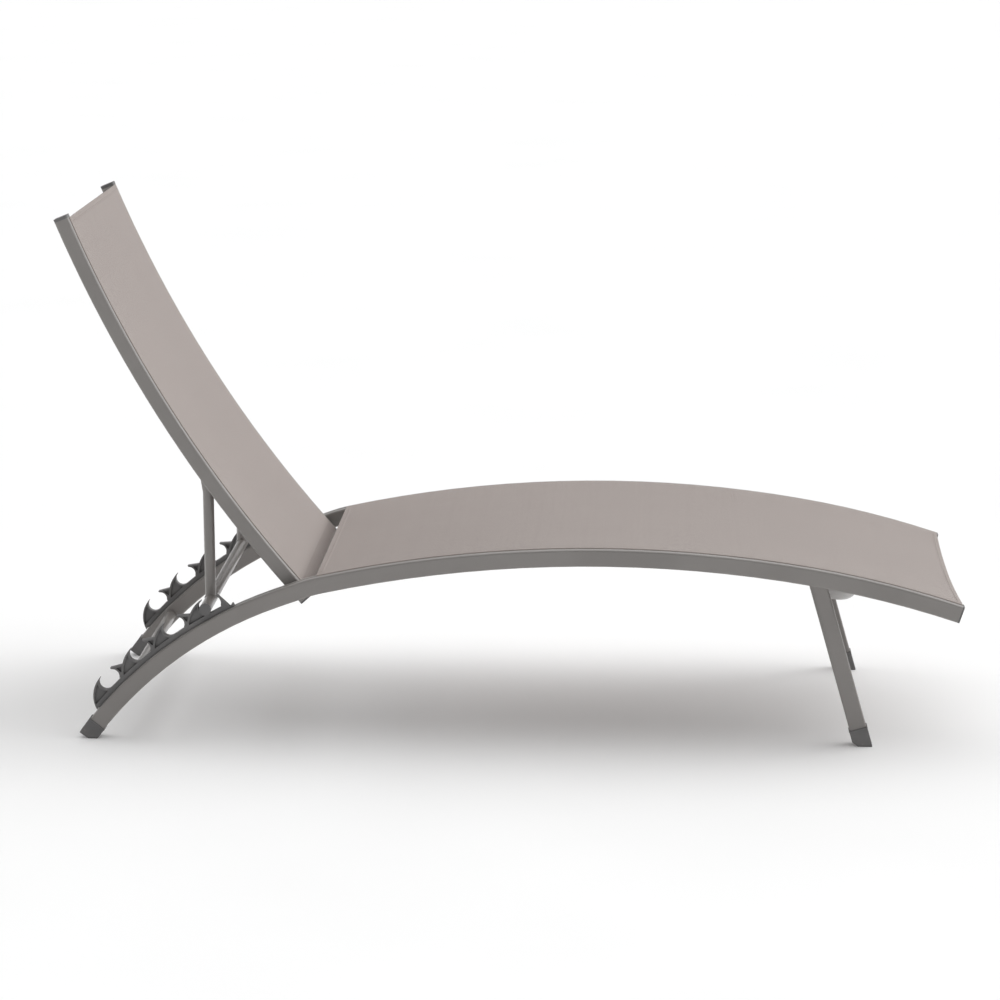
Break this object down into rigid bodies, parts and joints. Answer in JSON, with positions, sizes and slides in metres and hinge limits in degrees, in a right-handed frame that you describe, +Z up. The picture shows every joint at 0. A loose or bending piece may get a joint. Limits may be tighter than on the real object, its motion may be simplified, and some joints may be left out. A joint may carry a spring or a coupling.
{
  "type": "sun lounger",
  "caption": "Sun lounger with curved tube side rails, stretched fabric seat and back, and a hinged back held by a prop bar in notched racks.",
  "frame": {"origin": "on the floor, under the middle of the lounger's length and width", "axes": "+X from the head end to the foot end, +Y to the sitter's left, +Z up"},
  "size_m": [1.5672, 0.592, 0.9161],
  "materials": {
    "frame_paint": "satin powder coat",
    "dark_plastic": "fine matte",
    "foot_plastic": "fine matte",
    "sling_fabric": "coated mesh weave",
    "edge_cord": "smooth",
    "nylon": "smooth",
    "fastener_steel": "zinc plated"
  },
  "bodies": {
    "frame": {"side_rail_left": "frame_paint", "side_rail_right": "frame_paint", "rear_foot_cap_left": "foot_plastic", "rear_foot_cap_right": "foot_plastic", "toe_end_cap_left": "dark_plastic", "toe_end_cap_right": "dark_plastic", "front_leg_left": "frame_paint", "front_leg_right": "frame_paint", "front_foot_cap_left": "foot_plastic", "front_foot_cap_right": "foot_plastic", "leg_bolts": "fastener_steel", "leg_inserts": "fastener_steel", "front_stretcher": "frame_paint", "rear_stretcher": "frame_paint", "seat_spreader": "frame_paint", "rack_left": "dark_plastic", "rack_right": "dark_plastic", "rack_screws": "fastener_steel", "seat_fabric": "sling_fabric", "seat_cord_left": "edge_cord", "seat_cord_right": "edge_cord", "hinge_bolts": "fastener_steel", "hinge_spacers": "nylon", "hinge_inserts": "fastener_steel"},
    "backrest": {"back_rail_left": "frame_paint", "back_rail_right": "frame_paint", "back_top_cap_left": "dark_plastic", "back_top_cap_right": "dark_plastic", "back_lower_cap_left": "dark_plastic", "back_lower_cap_right": "dark_plastic", "back_lower_tube": "frame_paint", "back_upper_tube": "frame_paint", "back_fabric": "sling_fabric", "back_cord_left": "edge_cord", "back_cord_right": "edge_cord", "hinge_bushes": "nylon", "prop_bolts": "fastener_steel", "prop_inserts": "fastener_steel"},
    "bail": {"strut_left": "frame_paint", "strut_right": "frame_paint", "crossbar": "frame_paint", "crossbar_cap_left": "dark_plastic", "crossbar_cap_right": "dark_plastic"}
  },
  "joints": [
    {"name": "back_fold", "type": "hinge", "parent": "frame", "child": "backrest", "pos_m": [-0.37389, 0, 0.26628], "axis": [0, 1, 0], "range_deg": [0, 60]},
    {"name": "bail_swing", "type": "hinge", "parent": "backrest", "child": "bail", "pos_m": [-0.52943, 0, 0.46566], "axis": [0, 1, 0], "range_deg": [-18, 0]}
  ],
  "couplings": [
    {"joint": "bail_swing", "follows": "back_fold", "ratio": -0.26}
  ]
}
